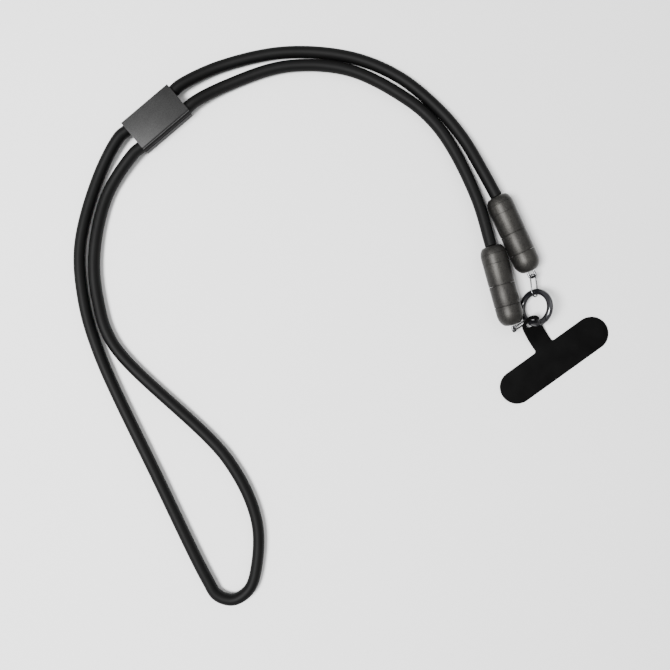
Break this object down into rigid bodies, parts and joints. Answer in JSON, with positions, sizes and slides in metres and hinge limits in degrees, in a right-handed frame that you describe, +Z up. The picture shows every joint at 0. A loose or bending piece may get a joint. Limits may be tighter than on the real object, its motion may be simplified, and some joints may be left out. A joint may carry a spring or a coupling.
{
  "type": "charging cable lanyard",
  "caption": "Neck lanyard made of a round charging cable through a metal slider, with both capsule ends linked to a spring gate ring and a T-shaped phone tether tab.",
  "frame": {"origin": "middle of the tether tab's cross bar, on its underside, which lies on the surface", "axes": "+Z up from the surface, +X across the spread lanyard from the slider towards the tab, +Y from the cable's narrow loop end towards the capsules' cord ends"},
  "size_m": [0.2586, 0.2682, 0.0149],
  "materials": {
    "cable_jacket": "smooth matte black cable jacket",
    "slider_metal": "fine blasted, dark grey anodised",
    "capsule_metal": "satin gunmetal anodised",
    "polished_wire": "polished bright steel wire",
    "ring_plating": "glossy black plating",
    "tab_sheet": "matte black flexible sheet"
  },
  "bodies": {
    "lanyard": {"cable": "cable_jacket", "slider": "slider_metal", "right_collar": "capsule_metal", "right_sleeve": "capsule_metal", "right_cap": "capsule_metal", "right_end_cap": "capsule_metal", "right_stirrup": "polished_wire", "left_collar": "capsule_metal", "left_sleeve": "capsule_metal", "left_cap": "capsule_metal", "left_end_cap": "capsule_metal", "left_stirrup": "polished_wire", "right_link": "polished_wire", "left_link": "polished_wire", "ring_body": "ring_plating", "hinge_pin": "ring_plating", "tether_tab": "tab_sheet"},
    "gate": {"ring_gate": "ring_plating"}
  },
  "joints": [
    {"name": "gate_hinge", "type": "hinge", "parent": "lanyard", "child": "gate", "pos_m": [-0.01002, 0.01809, 0.00929], "axis": [-0.7861, 0.055, 0.6157], "range_deg": [0, 30], "stiffness_Nm_per_rad": 0.002}
  ]
}
